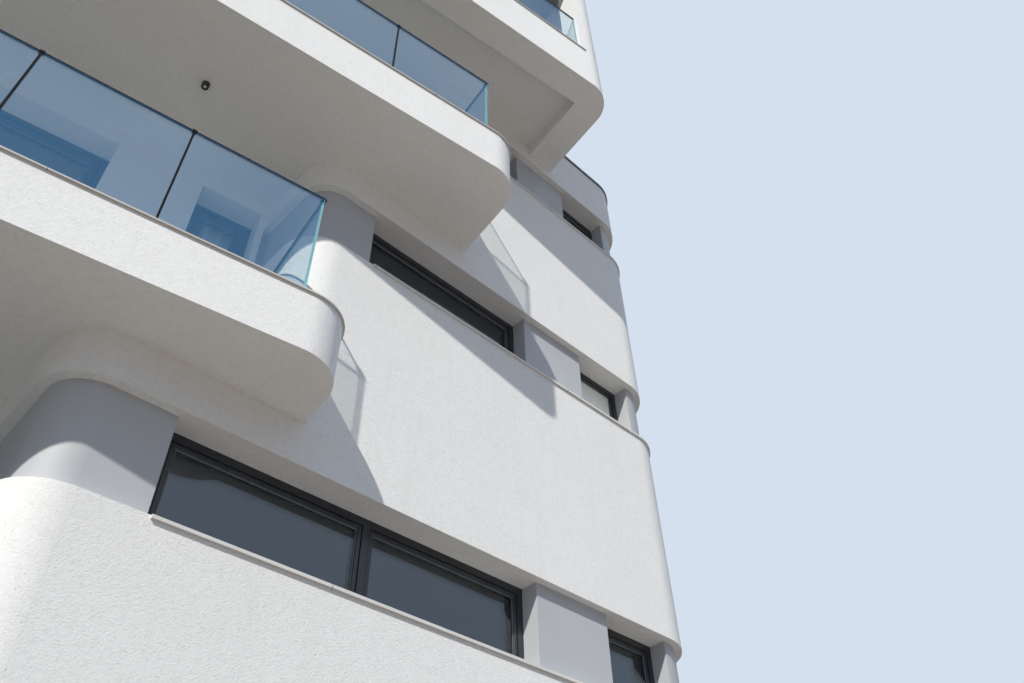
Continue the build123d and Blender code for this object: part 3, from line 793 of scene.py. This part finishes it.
def addCorner(rails, pane):  # a clip and a foot where a return meets the front
    front = -1 if (pane.at(-pane.wide / 2, 0, 0) - pane.at(pane.wide / 2, 0, 0)).y < 0 else 1
    spot = pane.at(front * pane.wide / 2, pane.tall, 0)
    addBlock(rails, spot, pane.axes, balustrade["corner"], balustrade["cornerBevel"])
    outwards = balustrade["foot"][1] / 2
    foot = pane.at(front * (pane.wide / 2 + balustrade["footPast"]), balustrade["footUp"], outwards)
    addBlock(rails, foot, pane.axes, balustrade["foot"], balustrade["footBevel"])


def makeBalustrade(name, node):
    rails, edges, joints = bmesh.new(), bmesh.new(), bmesh.new()
    panes = panesOf(node)
    joined = addJoints(joints, panes)
    for pane in panes:
        addRails(rails, edges, pane, joined)
    for pane in filter(isReturn, panes):
        addCorner(rails, pane)
    addPiece(name + "_rails", meshFrom(rails, "rails"), [topRail])
    addPiece(name + "_edges", meshFrom(edges, "edges"), [glassEdge])
    if joints.verts:
        addPiece(name + "_joints", meshFrom(joints, "joints"), [seal])
    else:
        joints.free()


for number in (1, 2, 3):
    makeBalustrade("balustrade_%d" % number, "balcony_glass_%d" % number)
makeBalustrade("balustrade_top", "loggia_glass")
print("balustrades made")


# ceiling lamps: short turned cans with a pale lens in the middle
lamp = {
    "can": ((0, 0, 0), (0.034, 0, 0), (0.034, 0.003, 0), (0.031, 0.004, 0), (0.031, 0.049, 0),
            (0.0305, 0.052, 0), (0.028, 0.054, 0), (0.024, 0.054, 0), (0.021, 0.050, 0),
            (0.0135, 0.042, 1), (0.008, 0.0435, 1), (0, 0.044, 1)),
}


def makeLamps():
    bm = bmesh.new()
    for points, _ in islandsOf("ceiling_lamps"):
        middle = sum(points, Vector()) / len(points)
        foot = Vector((middle.x, middle.y, max(point.z for point in points)))
        addTurned(bm, foot, -up, lamp["can"])
    piece = addPiece("lamp_cans", meshFrom(bm, "lampCans"), [looks["lamp"], lens])
    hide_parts("ceiling_lamps")


# floor tiles of the balconies and the loggia
tiling = {
    "size": 0.598, "joint": 0.004, "thick": 0.010, "bevel": 0.0015,
    "least": 0.02,           # cuts narrower than this are left out
    "floors": {              # half length, front, back and height of each floor
        "balcony_1": (2.576, -5.961, -4.742, 3.3),
        "balcony_2": (3.976, -6.091, -4.742, 6.3),
        "balcony_3": (5.270, -6.221, -4.742, 9.3),
        "loggia": (6.956, -6.196, -4.742, 12.3),
    },
}


def cutsOf(low, high):  # spans of the tiles between two places, counted from the middle
    pitch = tiling["size"] + tiling["joint"]
    middle, spans = (low + high) / 2, []
    count = math.ceil((high - low) / pitch)
    first = middle - count * pitch / 2
    for index in range(count):
        start = max(first + index * pitch, low)
        end = min(first + index * pitch + tiling["size"], high)
        if end - start > tiling["least"]:
            spans.append((start, end))
    return spans


def makeTiles():
    thick = tiling["thick"]
    for name, (half, front, back, height) in tiling["floors"].items():
        bm = bmesh.new()
        for left, far in cutsOf(-half, half):
            for near, deep in cutsOf(front, back):
                middle = Vector(((left + far) / 2, (near + deep) / 2, height + thick / 2))
                addBlock(bm, middle, (right, inward, up), (far - left, deep - near, thick), tiling["bevel"])
        addPiece("tiles_" + name, meshFrom(bm, "tiles"), [tile])


# roof: felt turned up the parapet, a metal strip with screws on its edge, and two outlets
roof = {
    "half": 6.96, "front": -6.2, "back": 4.66, "height": 15.3,
    "turnUp": 0.26, "off": 0.0005, "bevel": 0.002,
    "feltThick": 0.006, "feltShort": 0.002,
    "stripThick": 0.010, "stripTall": 0.028, "stripShort": 0.024,
    "screwPitch": 0.3, "screwSides": 10,
    "screw": ((0, 0, 0), (0.006, 0, 0), (0.0055, 0.002, 0), (0, 0.003, 0)),
    "outlets": ((-3.4, 3.9), (3.4, 3.9)),
    "outlet": ((0.0, 0.0, 0), (0.125, 0.0, 0), (0.125, 0.006, 0), (0.095, 0.010, 0), (0.088, 0.050, 0),
               (0.070, 0.074, 0), (0.035, 0.086, 0), (0.0, 0.088, 0)),
    "ribs": 16, "rib": (0.010, 0.007, 0.056), "ribOut": 0.096, "ribUp": 0.034,      # of the leaf guard
}


def addParapetTrim(felts, strips, foot, along, off, length):  # off is the way from the wall onto the roof
    axes, edge = (along, off, up), roof["height"] + roof["turnUp"]
    spot = foot + up * (roof["height"] + roof["turnUp"] / 2) + off * (roof["feltThick"] / 2 + roof["off"])
    size = (length - roof["feltShort"], roof["feltThick"], roof["turnUp"])
    addBlock(felts, spot, axes, size, roof["bevel"])
    spot = foot + up * edge + off * (roof["stripThick"] / 2 + roof["off"])
    size = (length - roof["stripShort"], roof["stripThick"], roof["stripTall"])
    addBlock(strips, spot, axes, size, roof["bevel"])
    count = int(length / roof["screwPitch"])
    for index in range(count):
        way = (index + 0.5) * length / count - length / 2
        screw = foot + along * way + up * edge + off * roof["stripThick"]
        addTurned(strips, screw, off, roof["screw"], roof["screwSides"])


def addOutlet(outlets, x, y):
    addTurned(outlets, Vector((x, y, roof["height"])), up, roof["outlet"])
    for index in range(roof["ribs"]):
        turn = 2 * math.pi * index / roof["ribs"]
        out = Vector((math.cos(turn), math.sin(turn), 0))
        spot = Vector((x, y, roof["height"] + roof["ribUp"])) + out * roof["ribOut"]
        addBlock(outlets, spot, (out, up.cross(out), up), roof["rib"], roof["bevel"])


def makeRoofTrim():
    felts, strips, outlets = bmesh.new(), bmesh.new(), bmesh.new()
    middle, run = (roof["front"] + roof["back"]) / 2, roof["back"] - roof["front"]
    for way in (-1, 1):
        addParapetTrim(felts, strips, Vector((way * roof["half"], middle, 0)), inward, right * -way, run)
    for y, way in ((roof["front"], 1), (roof["back"], -1)):
        addParapetTrim(felts, strips, Vector((0, y, 0)), right, inward * way, roof["half"] * 2)
    for x, y in roof["outlets"]:
        addOutlet(outlets, x, y)
    addPiece("roof_felt_edge", meshFrom(felts, "feltEdge"), [felt])
    addPiece("roof_strip", meshFrom(strips, "strip"), [steel])
    addPiece("roof_outlets", meshFrom(outlets, "outlets"), [looks["lamp"]])


# entrance: pull bar, lock, hinges, threshold and a blank intercom plate
entrance = {
    "wall": -4.74,           # outer face of the wall beside the door
    "off": 0.0002,           # fittings stand this far off what carries them
    "barRadius": 0.016, "barLength": 1.30, "barEdge": 0.003,
    "barOut": 0.065, "barSide": 0.375, "barHeight": 1.45,
    "post": 0.011, "postFromEnd": 0.12, "postReach": 0.8,
    "rose": 0.019, "roseThick": 0.004, "roseEdge": 0.005,
    "lockSide": 0.062, "lockHeight": 1.36,
    "lock": ((0.024, 0.0002, 0), (0.024, 0.006, 0), (0.021, 0.009, 0),
             (0.0085, 0.009, 1), (0.0085, 0.014, 1), (0, 0.015, 1)),
    "hinges": (0.60, 1.55, 2.50), "hingeSide": 0.002, "hingeOut": 0.010,
    "hinge": ((0, 0, 0), (0.0085, 0, 0), (0.009, 0.002, 0),
              (0.009, 0.098, 0), (0.0085, 0.1, 0), (0, 0.1, 0)),
    "threshold": (0.10, 0.014), "thresholdHeight": 0.308,
    "plateAt": (1.30, 1.55), "plate": (0.115, 0.012, 0.290), "plateOff": 0.0003, "bevel": 0.003,
    "buttons": 5, "buttonPitch": 0.028, "buttonUp": 0.02, "buttonSide": 0.03, "smallSides": 20,
    "button": ((0.0085, 0.0002, 0), (0.0085, 0.002, 0), (0.007, 0.003, 0), (0, 0.0032, 0)),
    "slots": 7, "slotPitch": 0.009, "slotUp": 0.115, "slotOut": 0.0004, "slot": (0.06, 0.0008, 0.003),
}


def addBar(metal, face, out):
    radius, length, edge = entrance["barRadius"], entrance["barLength"], entrance["barEdge"]
    off, stand, rose, post = (entrance[key] for key in ("off", "barOut", "rose", "post"))
    reach = stand - radius * entrance["postReach"]
    bar = Vector((entrance["barSide"], face - stand, entrance["barHeight"] - length / 2))
    addTurned(metal, bar, up, (
        (0, 0, 0), (radius - edge, 0, 0), (radius, edge, 0),
        (radius, length - edge, 0), (radius - edge, length, 0), (0, length, 0),
    ))
    for height in (entrance["postFromEnd"], length - entrance["postFromEnd"]):
        foot = Vector((bar.x, face, bar.z + height))
        addTurned(metal, foot, out, (
            (0, off, 0), (rose, off, 0), (rose, entrance["roseThick"], 0),
            (post, entrance["roseEdge"], 0), (post, reach, 0), (0, reach, 0),
        ))
    lock = Vector((bar.x + entrance["lockSide"], face, entrance["lockHeight"]))
    addTurned(metal, lock, out, ((0, off, 0), *entrance["lock"]))


def addIntercom(metal, dark, out):
    x, z = entrance["plateAt"]
    thick = entrance["plate"][1]
    plate = Vector((x, entrance["wall"] - thick / 2 - entrance["plateOff"], z))
    addBlock(metal, plate, (right, out, up), entrance["plate"], entrance["bevel"])
    face = plate + out * (thick / 2)
    for row in range(entrance["buttons"]):
        height = entrance["buttonUp"] - row * entrance["buttonPitch"]
        button = face + up * height + right * entrance["buttonSide"]
        addTurned(dark, button, out, ((0, entrance["off"], 0), *entrance["button"]), entrance["smallSides"])
    for row in range(entrance["slots"]):  # in front of the loudspeaker
        height = entrance["slotUp"] - row * entrance["slotPitch"]
        addBlock(dark, face + out * entrance["slotOut"] + up * height, (right, out, up), entrance["slot"])


def makeEntrance():
    low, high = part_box("entrance_door")
    face, out = low[1], -inward
    metal, dark = bmesh.new(), bmesh.new()
    addBar(metal, face, out)
    hingeX, hingeY = low[0] - entrance["hingeSide"], face - entrance["hingeOut"]
    for height in entrance["hinges"]:
        foot = Vector((hingeX, hingeY, height - entrance["hinge"][-1][1] / 2))
        addTurned(dark, foot, up, entrance["hinge"], entrance["smallSides"])
    threshold = Vector((0, (face + entrance["wall"]) / 2, entrance["thresholdHeight"]))
    size = (high[0] - low[0], *entrance["threshold"])
    addBlock(metal, threshold, (right, inward, up), size, entrance["bevel"])
    addIntercom(metal, dark, out)
    addPiece("entrance_fittings", meshFrom(metal, "fittings"), [steel, looks["lamp"]])
    addPiece("entrance_dark_fittings", meshFrom(dark, "darkFittings"), [looks["door"]])


makeLamps()
makeTiles()
makeRoofTrim()
makeEntrance()
print("lamps, tiles, roof and entrance made")


# light: one sun from the front left, and a surround that is darker than it looks
light = {
    "sunTravel": (0.581, 0.481, -0.656),   # the way the rays go
    "sunStrength": 4.05,
    "sunSoftness": 0.9,                    # degrees across
    "sunColor": (1.0, 0.965, 0.895),
    "horizonColor": (0.20, 0.24, 0.30),    # what the surround throws at the object, low down and overhead
    "overheadColor": (0.54, 0.685, 0.93),
    "overheadSpan": (0.0, 0.9),            # from the horizon up, as the height of a unit ray
    "backdropColor": (0.665, 0.745, 0.855),
    "floorColor": (0.53, 0.525, 0.51),
    "floorBounce": (0.228, 0.188, 0.148),  # what the floor throws back at the object
    "floorRoughness": 0.9,
    "floorSize": 160,
}


def shownMask(shader):  # 1 for what the camera sees, straight or in glass and metal
    direct, glossy, through = (shader.node("ShaderNodeLightPath", out=ray) for ray in (0, 3, 6))
    return shader.maths("MINIMUM", direct + glossy + through, 1.0)


def makeSun(settings):
    data = bpy.data.lights.new("sun", "SUN")
    data.energy = settings["sunStrength"]
    data.angle = math.radians(settings["sunSoftness"])
    data.color = settings["sunColor"]
    sun = bpy.data.objects.new("sun", data)
    sun.rotation_euler = Vector(settings["sunTravel"]).to_track_quat("-Z", "Y").to_euler()
    bpy.context.scene.collection.objects.link(sun)


def makeSurround(settings):
    world = bpy.data.worlds.new("surround")
    world.use_nodes = True
    world.node_tree.nodes.clear()
    shader = Shader(world.node_tree)
    height = shader.axis(shader.node("ShaderNodeTexCoord"), 2)
    overhead = shader.ramp(height, settings["overheadSpan"])
    color = shader.blend(overhead, settings["horizonColor"], settings["overheadColor"])
    lit = shader.node("ShaderNodeBackground", None, {"Color": color, "Strength": 1.0})
    shown = shader.node("ShaderNodeBackground", None, {"Color": settings["backdropColor"], "Strength": 1.0})
    shader.node("ShaderNodeOutputWorld", None, {"Surface": shader.layers(shownMask(shader), lit, shown)})
    bpy.context.scene.world = world


def makeFloor(settings):
    half = settings["floorSize"] / 2
    mesh = bpy.data.meshes.new("floor")
    corners = [(-half, -half, 0), (half, -half, 0), (half, half, 0), (-half, half, 0)]
    mesh.from_pydata(corners, [], [(0, 1, 2, 3)])
    floor = bpy.data.objects.new("floor", mesh)
    material, shader = newMaterial("floorCoat")
    color = shader.blend(shownMask(shader), settings["floorBounce"], settings["floorColor"])
    shader.finish(shader.surface({"Base Color": color, "Roughness": settings["floorRoughness"]}))
    mesh.materials.append(material)
    bpy.context.scene.collection.objects.link(floor)


makeSun(light)
makeSurround(light)
makeFloor(light)
bpy.context.scene.view_settings.view_transform = "Standard"
print("light and floor made")
